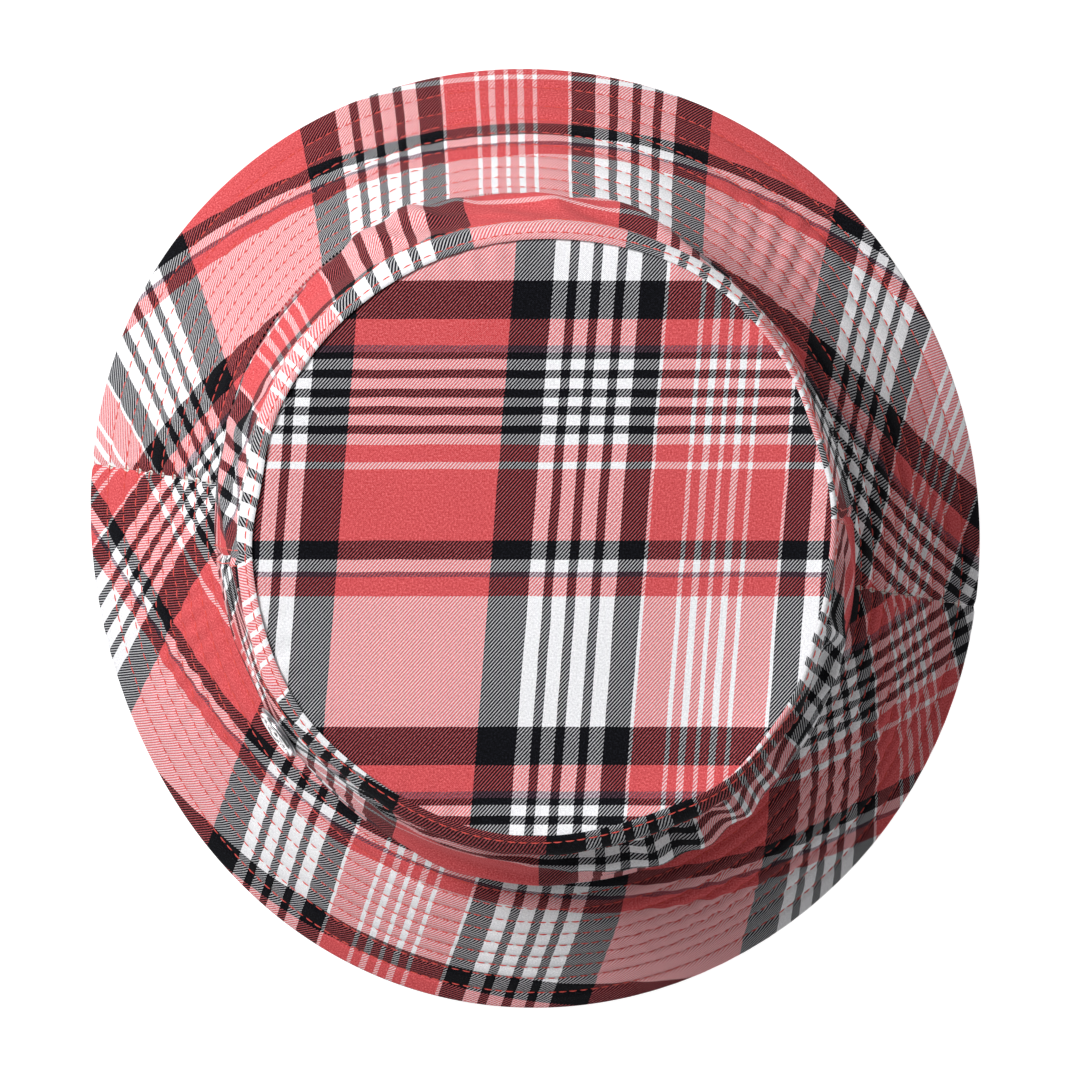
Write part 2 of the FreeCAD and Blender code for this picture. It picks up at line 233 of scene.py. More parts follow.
def check_twill(name):
    """Check twill that follows the panel's flat cut: U across the warp stripes, V along them.

    Light yarns are drawn narrower than dark ones and the yarn beneath darkens the one on top: painted shade
    between the yarns, with extra contrast in the tone. A fine fuzz breaks up the diagonal's edge, the depth
    of the dye and the tone.
    """
    recipe = Recipe(name, roughness=0.9, gloss=0.12)
    cut = recipe.add("ShaderNodeUVMap", uv_map="cut").outputs[0]
    soft = recipe.noise(cut, 90.0, 1.0)
    split = recipe.add("ShaderNodeSeparateXYZ", [(0, cut)])
    across = recipe.maths("MULTIPLY_ADD", soft, 0.5 * MM, split.outputs[0])
    along = recipe.maths("MULTIPLY_ADD", soft, 0.5 * MM, split.outputs[1])
    bounce = recipe.maths("PINGPONG", across, WARP_HALF)
    warp = stripe_ramp(recipe, recipe.maths("MULTIPLY", bounce, 1 / WARP_HALF), WARP)
    lap = recipe.maths("FRACT", recipe.maths("MULTIPLY", along, 1 / WEFT_REPEAT))
    weft = stripe_ramp(recipe, lap, WEFT)
    rib = recipe.maths("SUBTRACT", recipe.maths("MULTIPLY", across, 1 / RIB_ACROSS),
                       recipe.maths("MULTIPLY", along, 1 / RIB_ALONG))
    wave = recipe.maths("SINE", recipe.maths("MULTIPLY", rib, TURN))
    fuzz = recipe.noise(cut, 2100.0, 2.0)
    warp_red = recipe.add("ShaderNodeSeparateColor", [(0, warp)]).outputs[0]
    weft_red = recipe.add("ShaderNodeSeparateColor", [(0, weft)]).outputs[0]
    # A light yarn is drawn narrower beside a dark one: painted shade between the yarns.
    narrow = recipe.maths("MULTIPLY", recipe.maths("SUBTRACT", warp_red, weft_red), YARN_SHADE_SPREAD)
    uneven = recipe.maths("ADD", wave, recipe.span(fuzz, -0.55, 0.55))
    on_top = recipe.maths("GREATER_THAN", uneven, narrow)
    seen = recipe.mix(on_top, weft, warp)
    # The yarn beneath darkens the one on top: painted shade between the yarns, with extra contrast in the
    # tone.
    beneath = recipe.add("ShaderNodeGamma", [(0, recipe.mix(on_top, warp, weft)), (1, 0.5)]).outputs[0]
    cloth = recipe.mix(0.5, seen, recipe.mix(1.0, seen, beneath, "MULTIPLY"))
    cloud = recipe.noise(cut, 26.0, 3.0)
    shade = recipe.maths("ADD", recipe.span(fuzz, 0.72, 1.28), recipe.span(cloud, -0.06, 0.06))
    faded = recipe.add("ShaderNodeGamma", [(0, cloth), (1, recipe.span(fuzz, 1.55, 0.45))]).outputs[0]
    height = recipe.maths("ADD", recipe.maths("ABSOLUTE", wave), fuzz)
    return recipe.finish(recipe.shaded(faded, shade), height, 0.09 * MM)


twill = check_twill("check_twill")
print("twill nodes", len(twill.node_tree.nodes))


# %% [markdown]
# ## Cutting and laying a panel
# A panel starts as a plain grid. Its UV map is set from the flat cut, and its points are then placed on
# the hat by a formula. Modelling the shape straight away by hand would work too, but the checks would
# slide and stretch. Solidify gives the cloth its thickness, inwards from the face that is seen.

# %% Panel helper
def only(piece):
    """Makes the piece the one selected object."""
    bpy.ops.object.select_all(action="DESELECT")
    piece.select_set(True)
    bpy.context.view_layer.objects.active = piece


def give_thickness(piece, thickness):
    """A wall of that thickness, inwards from the face."""
    only(piece)
    bpy.ops.object.modifier_add(type="SOLIDIFY")
    wall = piece.modifiers[-1]
    wall.thickness = thickness
    wall.offset = -1
    bpy.ops.object.modifier_apply(modifier=wall.name)
    bpy.ops.object.shade_smooth_by_angle(angle=math.radians(50))


def lay_panel(name, columns, rows, outline, place, cut, material, thickness, loop=False, body="hat"):
    """A grid whose points, 0 to 1 along and up, are spread by the outline, then placed and cut there."""
    bpy.ops.object.select_all(action="DESELECT")
    bpy.ops.mesh.primitive_grid_add(x_subdivisions=columns, y_subdivisions=rows, size=1, location=(0, 0, 0))
    piece = bpy.context.active_object
    piece.name = name
    mesh = piece.data
    flat = np.empty(len(mesh.vertices) * 3)
    mesh.vertices.foreach_get("co", flat)
    spread = outline(flat.reshape(-1, 3)[:, 0] + 0.5, flat.reshape(-1, 3)[:, 1] + 0.5)
    corner = np.empty(len(mesh.loops), dtype=np.int32)
    mesh.loops.foreach_get("vertex_index", corner)
    mesh.uv_layers[0].name = "cut"
    mesh.uv_layers[0].data.foreach_set("uv", np.stack(cut(*spread), axis=1)[corner].ravel())
    mesh.vertices.foreach_set("co", place(*spread).ravel())
    mesh.update()
    if loop:
        only(piece)
        bpy.ops.object.mode_set(mode="EDIT")
        bpy.ops.mesh.select_all(action="SELECT")
        bpy.ops.mesh.remove_doubles(threshold=0.01 * MM)
        bpy.ops.object.mode_set(mode="OBJECT")
    give_thickness(piece, thickness)
    mesh.materials.append(material)
    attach(piece, body)
    print(name, len(mesh.polygons), "faces")
    return piece


# %% Surface helpers
def normals_of(surface, theta, up):
    """Unit normals of a surface(theta, up), by small steps along both."""
    step = 1e-3
    around = surface(theta + step, up) - surface(theta - step, up)
    upward = surface(theta, up + step) - surface(theta, up - step)
    normal = np.cross(around, upward)
    return normal / np.linalg.norm(normal, axis=1)[:, None]


def raised(surface, theta, up, lift):
    """Points at a height above a surface."""
    return surface(theta, up) + normals_of(surface, theta, up) * np.reshape(lift, (-1, 1))


def oval_radius(theta, semi_x, semi_y):
    """Radius of an oval in the direction theta."""
    return semi_x * semi_y / np.hypot(semi_y * np.cos(theta), semi_x * np.sin(theta))


def ring_points(radius, theta, height):
    """Points at a radius, a direction and a height."""
    return np.stack([radius * np.cos(theta), radius * np.sin(theta), height + 0 * theta], axis=1)


def patch(value, middle, half_width):
    """A soft bump that is 1 in the middle and fades out at the half width."""
    return np.exp(-((value - middle) / half_width) ** 2)


def angle_from(theta, direction):
    """Signed angle from a direction, in degrees, between -180 and 180."""
    return (np.degrees(theta) - direction + 180) % 360 - 180


print("surface helpers ready")

# %% [markdown]
# ## The brim's form
# The brim is three layers quilted together, so it is stiff enough to hold a shallow S: nearly flat at the
# turned edge, steeper where it meets the band. Its outline isn't a true oval; it leans and waves a little.

# %% Brim form
opening_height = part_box("brim_upper_back")[1][2]
opening_half = (90 * MM, 97 * MM)
brim_slant = 57 * MM
edge_lift = 2.3 * MM
puff_height = 0.6 * MM
PUCKERS = [(52, 11, 0.55), (300, 16, 0.4), (200, 18, 0.35), (335, 14, 0.4), (120, 20, 0.25)]
quilt_rows = [7 * MM, 14 * MM] + [14 * MM + 5.5 * MM * row for row in range(1, 8)]
print("opening at", round(opening_height / MM, 1), "mm, rows", [round(row / MM, 1) for row in quilt_rows])


def edge_radius(theta):
    """The brim's outline: a leaning oval with slow waves."""
    return MM * (130.6 + 3.85 * np.cos(2 * (theta + 1.312)) + 0.92 * np.cos(3 * (theta - 0.459))
                 + 0.35 * np.cos(4 * (theta + 0.463)))


def opening_radius(theta):
    """The brim's inner edge, an oval that leans the same way."""
    return MM * (91.3 + 4.9 * np.cos(2 * (theta - 1.99)) - 0.9 * np.sin(theta))


def brim_surface(theta, slant):
    """The brim's top face, from the edge (0) up to the band."""
    part = slant / brim_slant
    back = (1 + np.sin(theta)) / 2
    inward = back * (1.25 * part - 0.25 * part ** 2) + (1 - back) * (1.07 * part - 0.47 * part ** 2
                                                                      + 0.4 * part ** 3)
    rise = back * (0.8 * part + 0.2 * part ** 2) + (1 - back) * (0.97 * part + 0.27 * part ** 2
                                                                  - 0.24 * part ** 3)
    edge = edge_radius(theta)
    ring = opening_radius(theta)
    foot = edge_lift + 1.1 * MM * (1 + np.sin(3 * theta + 0.6)) * (1 - part) ** 2
    wave = 0.7 * MM * np.sin(5 * theta + 1.0) * np.sin(math.pi * part)
    height = foot + (opening_height - foot) * rise + wave
    return ring_points(edge + (ring - edge) * inward, theta, height)


def quilt_lift(theta, slant):
    """How far the cloth stands up between the rows, with a few puckers across them."""
    distance = np.min([np.abs(slant - row) for row in quilt_rows], axis=0)
    puff = puff_height * (1 - np.exp(-(distance / (1.0 * MM)) ** 2))
    pucker = 0.0
    for middle, width, size in PUCKERS:
        ripple = np.sin(theta * 118 * MM / (1.15 * MM) + 260 * slant + 9 * np.sin(2.3 * theta))
        pucker = pucker + size * MM * ripple * patch(angle_from(theta, middle), 0, width)
    inner = patch(slant, 0.55 * brim_slant, 0.33 * brim_slant)
    slow = 0.22 * MM * np.sin(17 * theta + 120 * slant) * np.sin(9 * theta + 1.3)
    return puff + pucker * inner + slow * inner


# %% [markdown]
# ## The brim's upper layer
# Each half is cut as a flat curved strip. Bending it round the brim turns the checks a little from the seam
# to the middle, which is why the plaid fans out. Its outer edge is turned under round the stiffener.

# %% Brim panels
brim_seam = math.radians(-5)
brim_middle = 110 * MM
cut_length = 126.8 * MM
tight_start = 0.6
seam_gap = 0.02 * MM
edge_roll = 1.25 * MM
roll_length = 3.2 * MM


def half_angles(seam, half):
    """Start and end directions of the back (0) or front (1) half."""
    start = seam + half * math.pi
    return start, start + math.pi


def eased(along, squeeze=0.55):
    """Moves the columns of a panel towards its two ends, where it is seamed."""
    return along - squeeze * np.sin(TURN * along) / TURN


def seam_dip(theta, seam, radius, depth=0.7 * MM, width=1.1 * MM):
    """How far the cloth rolls in beside the two seams."""
    away = np.abs(np.sin(theta - seam)) * radius
    return -depth * np.exp(-(away / width) ** 2)


def brim_cut(half, grain_degrees, warp_shift, weft_shift, cut_turn=0.5, tight=0.0):
    """The flat cut of a brim half: a curved strip, bent a little more at its first end if tight."""
    start, end = half_angles(brim_seam, half)
    middle = (start + end) / 2
    facing = 1 - 2 * half
    steps = np.linspace(start - 0.1, end + 0.1, 800)

    def bend(theta):
        pinch = tight * np.minimum(theta - middle + tight_start, 0) ** 2
        return cut_turn * (theta - middle) - math.radians(grain_degrees) - pinch

    reach = cut_length * (steps[1] - steps[0])
    edge_u, edge_v = np.cumsum(np.cos(bend(steps))) * reach, np.cumsum(np.sin(bend(steps))) * reach
    edge_u += cut_length / cut_turn * math.sin(bend(middle)) - np.interp(middle, steps, edge_u)
    edge_v -= cut_length / cut_turn * math.cos(bend(middle)) + np.interp(middle, steps, edge_v)

    def cut(theta, slant):
        plain = edge_radius(theta) - oval_radius(theta, *opening_half)
        inward = slant * (edge_radius(theta) - opening_radius(theta)) / plain
        across = np.interp(theta, steps, edge_u) - inward * np.sin(bend(theta))
        along = np.interp(theta, steps, edge_v) + inward * np.cos(bend(theta))
        return facing * across + warp_shift, weft_shift + facing * along

    return cut


def brim_panel(name, half, cut):
    """One half of the brim's top face, with the turned edge."""
    start, end = half_angles(brim_seam, half)
    trim = seam_gap / brim_middle

    def outline(along, up):
        slant = -roll_length + (brim_slant + roll_length - 0.3 * MM) * up
        return start + trim + (end - start - 2 * trim) * eased(along), slant

    def place(theta, slant):
        held = np.maximum(slant, edge_roll)
        lift = quilt_lift(theta, held) + seam_dip(theta, brim_seam, brim_middle)
        base = brim_surface(theta, held)
        normal = normals_of(brim_surface, theta, held)
        inward = brim_surface(theta, held + 1e-4) - base
        inward /= np.linalg.norm(inward, axis=1)[:, None]
        over = (np.maximum(edge_roll - slant, 0) / edge_roll)[:, None]
        curl = (normal * (np.cos(over) - 1) - inward * np.sin(over)) * edge_roll
        return base + normal * lift[:, None] + curl

    return lay_panel(name, 380, 92, outline, place, cut, twill, 0.7 * MM)


back_cut = brim_cut(0, 5.3, -4.9 * MM + WARP_HALF, (250.0 + 47.9) * MM, tight=0.42)
front_cut = brim_cut(1, -5.8, 75.5 * MM, -196.5 * MM, 0.593)
brim_panel("brim_upper_back_cloth", 0, back_cut)
brim_panel("brim_upper_front_cloth", 1, front_cut)

# %% [markdown]
# ## The stiffener and the lower layer
# A firm interlining lies between the two layers, and the lower layer of the same twill closes the brim
# from beneath. Both follow the form of the top face at a depth, so nothing pokes through. They are laid the
# other way round, so that their faces look down and the wall grows upwards.

# %% Layers under the brim
underside_depth = 2.1 * MM


def under_panel(name, half, cut, first, last, depth, thickness, material, puffed):
    """A brim layer at a depth under the top face, seen from below."""
    start, end = half_angles(brim_seam, half)
    trim = seam_gap / brim_middle

    def outline(along, up):
        return end - trim - (end - start - 2 * trim) * eased(along), first + (last - first) * up

    def place(theta, slant):
        puff = quilt_lift(theta, slant) if puffed else 0 * theta
        return raised(brim_surface, theta, slant, -depth - puff - seam_dip(theta, brim_seam, brim_middle))

    return lay_panel(name, 300, 80, outline, place, cut, material, thickness)


def felt_like(name, colour, roughness, grain, depth, contrast=0.12):
    """Plain cotton or interlining: one colour with a fine even grain."""
    recipe = Recipe(name, roughness=roughness, sheen=0.1)
    where = recipe.add("ShaderNodeTexCoord").outputs["Object"]
    speck = recipe.noise(where, grain, 3.0)
    shade = recipe.span(speck, 1 - contrast, 1 + contrast)
    return recipe.finish(recipe.shaded(colour, shade), speck, depth)


interlining = felt_like("interlining", (0.72, 0.7, 0.66, 1), 0.9, 1500.0, 0.1 * MM)
for half, side in enumerate(("back", "front")):
    cut = brim_cut(half, 4.0 - 8.0 * half, 20.0 * MM, 60.0 * MM)
    layer = under_panel(f"brim_lower_{side}_cloth", half, cut, 2.6 * MM, brim_slant - 0.4 * MM,
                        underside_depth, 0.6 * MM, twill, True)
    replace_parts(layer, f"brim_lower_{side}")
    core = under_panel(f"brim_stiffener_{side}_sheet", half, cut, 3.0 * MM, brim_slant - 1.0 * MM,
                       1.35 * MM, 0.5 * MM, interlining, False)
    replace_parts(core, f"brim_stiffener_{side}")
    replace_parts(bpy.data.objects[f"brim_upper_{side}_cloth"], f"brim_upper_{side}")

# %% [markdown]
# ## Letting the side band slouch
# The band is cut taller than the crown stands, so it buckles into soft folds and leans a little to one
# side. Folds like these are hard to shape by hand, so the band is simulated: a ring of cloth at its full
# cut height is sewn fast at the brim and at the tip, and settles round a plain inner form as the tip sinks.

# %% The band before it slouches
tip_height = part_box("crown_tip")[1][2] - 0.8 * MM
tip_half = (78.5 * MM, 79 * MM)
tip_lean = np.array((3.3 * MM, -0.1 * MM, 0))
band_slack = 1.17
band_rows = 31
badge_low, badge_high = (np.array(corner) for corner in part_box("badge"))
badge_middle = (badge_low + badge_high) / 2
badge_direction = math.atan2(badge_middle[1], badge_middle[0])
badge_up = (badge_middle[2] - opening_height) / (tip_height - opening_height)
# Each wave or gather is a direction and a half width in degrees, and a size in mm. A fold also has a level.
TIP_WAVES = [(357, 16, -2.9), (24, 13, -2.2), (341, 7, -1.2), (64, 16, 1.3), (174, 8, -1.5), (219, 15, 1.2),
             (264, 18, 1.2), (310, 9, 1.8)]
FOLDS = [(92, 30, 0.48, 7.0), (118, 20, 0.50, 7.5), (122, 14, 0.78, -2.5), (150, 16, 0.45, 6.0),
         (158, 12, 0.72, -3.0), (180, 18, 0.25, 3.0), (178, 14, 0.62, -3.5), (272, 26, 0.26, 7.5),
         (262, 24, 0.52, -3.5), (300, 24, 0.60, 7.5), (305, 20, 0.32, -2.5), (335, 16, 0.45, 5.0),
         (352, 14, 0.25, 3.5), (350, 14, 0.62, -3.0), (60, 22, 0.35, 2.5)]
GATHERS = [(120, 14, 3.0), (163, 11, 3.4), (300, 20, 2.2), (346, 12, 3.0), (248, 10, 2.4)]


def tip_radius(theta):
    """The crown seam's outline: an oval, pushed in and out a little by the folds below it."""
    waves = sum(size * patch(angle_from(theta, middle), 0, width) for middle, width, size in TIP_WAVES)
    return oval_radius(theta, *tip_half) + waves * MM


def cone(foot_radius, top_radius, theta, up, inset):
    """A cone from the opening (0) to the tip (1)."""
    foot = ring_points(foot_radius - inset, theta, opening_height)
    top = ring_points(top_radius - inset, theta, tip_height)
    return foot + (top - foot) * np.reshape(up, (-1, 1))


def straight_band(theta, up, inset=0.0):
    """The crown without folds."""
    return cone(opening_radius(theta), tip_radius(theta), theta, up, inset)


def badge_seat(theta, up):
    """The cone that the badge is fixed to."""
    return cone(oval_radius(theta, *opening_half), oval_radius(theta, *tip_half), theta, up, 0.0)


def drawn_in(up, inset):
    """An inset that grows above the sweatband, where the folds need room."""
    return (inset + 4.6 * np.clip((np.asarray(up) - 0.42) / 0.58, 0, 1)) * MM


def near_badge(theta, up, reach):
    """1 at the badge, fading to 0 at a distance of about reach."""
    around = angle_from(theta, math.degrees(badge_direction)) * math.pi / 180 * 84 * MM
    return np.exp(-((around ** 2 + ((up - badge_up) * 75 * MM) ** 2) / reach ** 2) ** 2)


def shoulder_width(theta):
    """How far the band stands out beside the crown seam, where its turnings keep it flat."""
    return MM * (4.0 - 3.5 * patch(angle_from(theta, 14), 0, 42) + 0.6 * patch(angle_from(theta, 274), 0, 35)
                 - 0.8 * patch(angle_from(theta, 228), 0, 18))


def loose_band(theta, up, slack=1.0):
    """The band leaning over, with the first hint of its folds. Slack makes it as tall as it is cut."""
    base = straight_band(theta, up) + tip_lean * np.reshape(up, (-1, 1))
    base += (badge_seat(theta, up) - base) * near_badge(theta, up, 20 * MM)[:, None]
    tight_left, tight_right = patch(angle_from(theta, 217), 0, 22), patch(angle_from(theta, 38), 0, 30)
    tall = 1 + (slack - 1) * (1 - 0.8 * tight_left - 0.6 * tight_right)
    base[:, 2] = opening_height + (base[:, 2] - opening_height) * tall
    outward = ring_points(np.ones_like(theta), theta, 0)
    held = np.sin(math.pi * up) * (1 - near_badge(theta, up, 16 * MM))
    fold = 0.0
    for middle, width, level, size in FOLDS:
        fold = fold + size * MM * patch(angle_from(theta, middle), 0, width) * patch(up, level, 0.14)
    ripple = 0.5 * MM * np.sin(13 * theta + 7 * up) * np.sin(5 * theta + 2)
    for middle, width, size in GATHERS:
        gather = size * MM * np.sin(44 * theta + 13 * up) * patch(angle_from(theta, middle), 0, width)
        ripple = ripple + gather * patch(up, 0.7, 0.24)
    below = np.minimum((1 - up) * (band_rows - 1), 1.0)
    shoulder = shoulder_width(theta) * below * patch(np.minimum(up, 0.96), 0.96, 0.1)
    base[:, 2] -= 1.2 * MM * below * (up > 0.9)
    return base + outward * ((fold + ripple) * held + shoulder)[:, None]


print("badge at", round(math.degrees(badge_direction)), "degrees,", round(badge_up, 2), "of the way up")


# %% The simulation
def form_object(name, points, columns, rows):
    """A tube of points as a mesh, columns round and rows up."""
    faces = [(row * columns + col, row * columns + (col + 1) % columns,
              (row + 1) * columns + (col + 1) % columns, (row + 1) * columns + col)
             for row in range(rows - 1) for col in range(columns)]
    mesh = bpy.data.meshes.new(name)
    mesh.from_pydata([tuple(point) for point in points], [], faces)
    form = bpy.data.objects.new(name, mesh)
    bpy.context.scene.collection.objects.link(form)
    return form


def tube_coordinates(columns, rows):
    """Directions and heights of a tube's points, row by row."""
    theta, up = np.meshgrid(np.arange(columns) * TURN / columns, np.linspace(0, 1, rows))
    return theta.ravel(), up.ravel()


def settle_band(columns=216, rows=band_rows, frames=50):
    """Runs the cloth and returns the settled points as rows of columns."""
    theta, up = tube_coordinates(columns, rows)
    lowered = loose_band(theta, up)
    band = form_object("band_form", loose_band(theta, up, band_slack), columns, rows)
    band.shape_key_add(name="tall")
    crown_down = band.shape_key_add(name="lowered")
    crown_down.data.foreach_set("co", lowered.ravel())
    for key_frame, value in ((1, 0.0), (frames - 18, 1.0)):
        crown_down.value = value
        crown_down.keyframe_insert("value", frame=key_frame)
    sewn = band.vertex_groups.new(name="sewn")
    for index in range(rows * columns):
        held = near_badge(theta[index:index + 1], up[index:index + 1], 9 * MM)[0]
        if up[index] == 0 or up[index] > 0.96 or held > 0.5:
            sewn.add([index], 1.0, "REPLACE")
    side, level = tube_coordinates(120, 12)
    forms = [form_object("inner_form", straight_band(side, level, drawn_in(level, 1.6)), 120, 12),
             form_object("brim_form", brim_surface(side, brim_slant * level), 120, 12)]
    for form in forms:
        only(form)
        bpy.ops.object.modifier_add(type="COLLISION")
        form.collision.thickness_outer = 0.6 * MM
        form.collision.cloth_friction = 12
    only(band)
    bpy.ops.object.modifier_add(type="CLOTH")
    cloth = band.modifiers[-1]
    settings = cloth.settings
    settings.quality = 7
    settings.mass = 0.25
    settings.tension_stiffness = 30
    settings.compression_stiffness = 30
    settings.shear_stiffness = 12
    settings.bending_stiffness = 4
    settings.air_damping = 4
    settings.vertex_group_mass = "sewn"
    cloth.collision_settings.use_self_collision = True
    cloth.collision_settings.self_distance_min = 1.2 * MM
    cloth.collision_settings.distance_min = 0.8 * MM
    cloth.point_cache.frame_start = 1
    cloth.point_cache.frame_end = frames
    for frame_number in range(1, frames + 1):
        bpy.context.scene.frame_set(frame_number)
    settled = band.evaluated_get(bpy.context.evaluated_depsgraph_get()).to_mesh()
    points = np.empty(rows * columns * 3)
    settled.vertices.foreach_get("co", points)
    bpy.context.scene.frame_set(1)
    for form in (*forms, band):
        bpy.data.objects.remove(form)
    return points.reshape(rows, columns, 3)


def smoothed(grid, times):
    """Evens out a ring of points, with the first and last rows held."""
    grid = grid.copy()
    for _ in range(times):
        around = (np.roll(grid, 1, axis=1) + np.roll(grid, -1, axis=1)) / 2
        grid = (grid + around) / 2
        grid[1:-1] = grid[1:-1] / 2 + (grid[:-2] + grid[2:]) / 4
    return grid


settled_band = settle_band()
outer_grid = smoothed(settled_band, 1)
reach = np.linalg.norm(settled_band[..., :2], axis=2)
print("band reaches", round(reach.min() / MM, 1), "to", round(reach.max() / MM, 1), "mm from the middle")


# %% Reading a smooth surface from the settled points
def curve_weights(part):
    """The four weights of a smooth curve through evenly spaced points."""
    return np.stack([((2 - part) * part - 1) * part, (3 * part - 5) * part ** 2 + 2,
                     ((4 - 3 * part) * part + 1) * part, (part - 1) * part ** 2]) / 2


def surface_of(grid):
    """A function of direction and height that runs smoothly through the grid's points."""
    rows, columns = grid.shape[:2]

    def surface(theta, up):
        col = np.mod(theta, TURN) / TURN * columns
        row = np.clip(up, 0, 1) * (rows - 1)
        first_col, first_row = np.floor(col).astype(int), np.minimum(np.floor(row).astype(int), rows - 2)
        col_weights, row_weights = curve_weights(col - first_col), curve_weights(row - first_row)
        total = 0.0
        for i in range(4):
            for j in range(4):
                pick = grid[np.clip(first_row + i - 1, 0, rows - 1), (first_col + j - 1) % columns]
                total = total + pick * (row_weights[i] * col_weights[j])[:, None]
        return total + 1e-9 * np.reshape(up - np.clip(up, 0, 1), (-1, 1))

    return surface


band_surface = surface_of(outer_grid)
print("band surface ready")

# %% [markdown]
# ## The side band's two halves
# Each half is a shallow curved strip with its warp stripes upright. The top edge turns in over the crown
# seam and stands as a narrow ridge round the tip; the side edges turn in at the two side seams.

# %% Band panels
band_seam = math.radians(7.5)
band_turn = 0.19
band_cut_radius = 415 * MM
band_height = 83 * MM
band_middle = 85 * MM
ridge_roll = 0.9 * MM


def band_cut(half, warp_shift, weft_shift):
    """The flat cut of a band half. The front half is cut the other way up."""
    start, end = half_angles(band_seam, half)
    middle = (start + end) / 2
    facing = 1 - 2 * half

    def cut(theta, up):
        radius = band_cut_radius + band_height * (1 - up)
        turn = band_turn * (theta - middle)
        down = radius * np.cos(turn) - band_cut_radius
        return facing * radius * np.sin(turn) + warp_shift, weft_shift - facing * down

    return cut


CREASES = [(112, 17, 0.62, 1.1), (150, 16, 0.5, 1.0), (172, 9, 0.75, 1.3), (262, 16, 0.86, 0.9),
           (290, 22, 0.55, 1.0), (345, 14, 0.6, 1.2), (236, 9, 0.5, 0.8)]


def crease_lift(theta, up):
    """Sharp little creases that slant across the folds."""
    depth = 0.0
    for middle, width, level, size in CREASES:
        slant = 15 * theta + 11 * up + 1.3 * np.sin(9 * theta + middle) + 0.8 * np.sin(23 * up + middle)
        ridge = 1 - np.abs(np.sin(slant)) ** 0.7
        fade = patch(angle_from(theta, middle), 0, width) * patch(up, level, 0.2)
        depth = depth + size * MM * (ridge - 0.4) * fade
    return depth * np.clip((0.93 - up) / 0.06, 0, 1) * (1 - near_badge(theta, up, 14 * MM))


def band_panel(name, half, cut):
    """One half of the band, with its top edge rolled in over the crown seam."""
    start, end = half_angles(band_seam, half)
    trim = seam_gap / band_middle
    over = 0.035

    def outline(along, up):
        return start + trim + (end - start - 2 * trim) * eased(along), up * (1 + over)

    def place(theta, level):
        held = np.minimum(level, 1.0)
        ease = np.clip((1 - held) / 0.04, 0, 1)
        lift = seam_dip(theta, band_seam, band_middle) * ease
        points = raised(band_surface, theta, np.minimum(held, 0.999), lift + crease_lift(theta, held))
        outward = ring_points(np.ones_like(theta), theta, 0)
        roll = np.maximum(level - 1, 0)[:, None] / over * 2.4
        curl = -outward * (1 - np.cos(roll)) * ridge_roll + np.array((0, 0, 1)) * np.sin(roll) * ridge_roll
        return points + curl

    return lay_panel(name, 400, 96, outline, place, cut, twill, 0.65 * MM)


for half, (side, cut) in enumerate((("back", band_cut(0, 5.2 * MM, 90.0 * MM)),
                                    ("front", band_cut(1, -24.8 * MM, 5.0 * MM)))):
    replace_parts(band_panel(f"side_band_{side}", half, cut), f"side_panel_{side}")

# %% [markdown]
# ## The tip
# The tip is a nearly round disc set just inside the ridge. It sinks a little, more towards the front, and
# the seam draws short puckers into it. Its flat cut is simply its plan, so the checks stay straight.

# %% Tip panel
stripe_middle = -31.0 * MM
weft_start = 49.16 * MM


def tip_surface(theta, inward):
    """The tip's face, from the crown seam (0) to the middle (1)."""
    rim = tip_radius(theta) - 0.5 * MM
    radius = rim * (1 - inward)
    depth = rim - radius
    sink = (2.3 + 1.5 * np.cos(theta + 1.1) * (1 - inward)) * MM * (1 - np.exp(-depth / (8 * MM)))
    groove = 0.9 * MM * np.exp(-depth / (1.1 * MM))
    draw = np.sin(61 * theta + 3 * np.sin(3 * theta)) * (0.6 + 0.4 * np.sin(7 * theta + 1))
    pucker = 0.28 * MM * draw * np.exp(-((depth - 3 * MM) / (4.5 * MM)) ** 2)
    x, y = radius * np.cos(theta), radius * np.sin(theta)
    slow = 0.45 * MM * np.sin(x / (17 * MM) + 0.8) * np.sin(y / (21 * MM) + 2.0) * np.minimum(depth / 0.02, 1)
    flat = ring_points(radius, theta, 0)
    flat[:, 2] = tip_height - sink - groove + pucker + slow
    return flat + tip_lean


def plan_cut(points):
    """The tip's flat cut: stripes along the hat, wefts level with the view."""
    x, y = points[:, 0], points[:, 1]
    across = -(x - stripe_middle - math.tan(math.radians(0.35)) * (y + 31.5 * MM))
    down = (x - VIEW_CENTRE[0]) * math.sin(HAT_TURN) - (y - VIEW_CENTRE[1]) * math.cos(HAT_TURN)
    return across, down - weft_start


def disc_panel(name, columns, rows, surface, cut, material, thickness):
    """A round panel: a grid wrapped round its middle and closed there."""
    def outline(along, up):
        return along * TURN, up ** 1.6

    def flat(theta, inward):
        return cut(surface(theta, inward))

    return lay_panel(name, columns, rows, outline, surface, flat, material, thickness, loop=True)


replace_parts(disc_panel("crown_tip_cloth", 360, 60, tip_surface, plan_cut, twill, 0.7 * MM),
            "crown_tip")

# %% [markdown]
# ## Stitches
# Topstitching is what makes the hat look sewn: nine rows quilt the brim and two run under the crown seam.
# One stitch is a short bowed thread of a few faces. Curve and Array modifiers could repeat it, but a row
# has to sit on a puckered surface, so each copy is placed by the surface's own direction and normal.

# %% Thread
thread_width = 0.36 * MM
stitch_pitch = 3.05 * MM


def thread_material():
    """Glossy twisted polyester: a red thread with a fine speckled grain."""
    recipe = Recipe("red_thread", roughness=0.5, sheen=0.2)
    where = recipe.add("ShaderNodeTexCoord").outputs["Object"]
    speck = recipe.noise(where, 2400.0, 2.0)
    colour = recipe.mix(speck, (0.50, 0.035, 0.03, 1), (0.82, 0.11, 0.085, 1))
    return recipe.finish(colour, speck, 0.06 * MM)


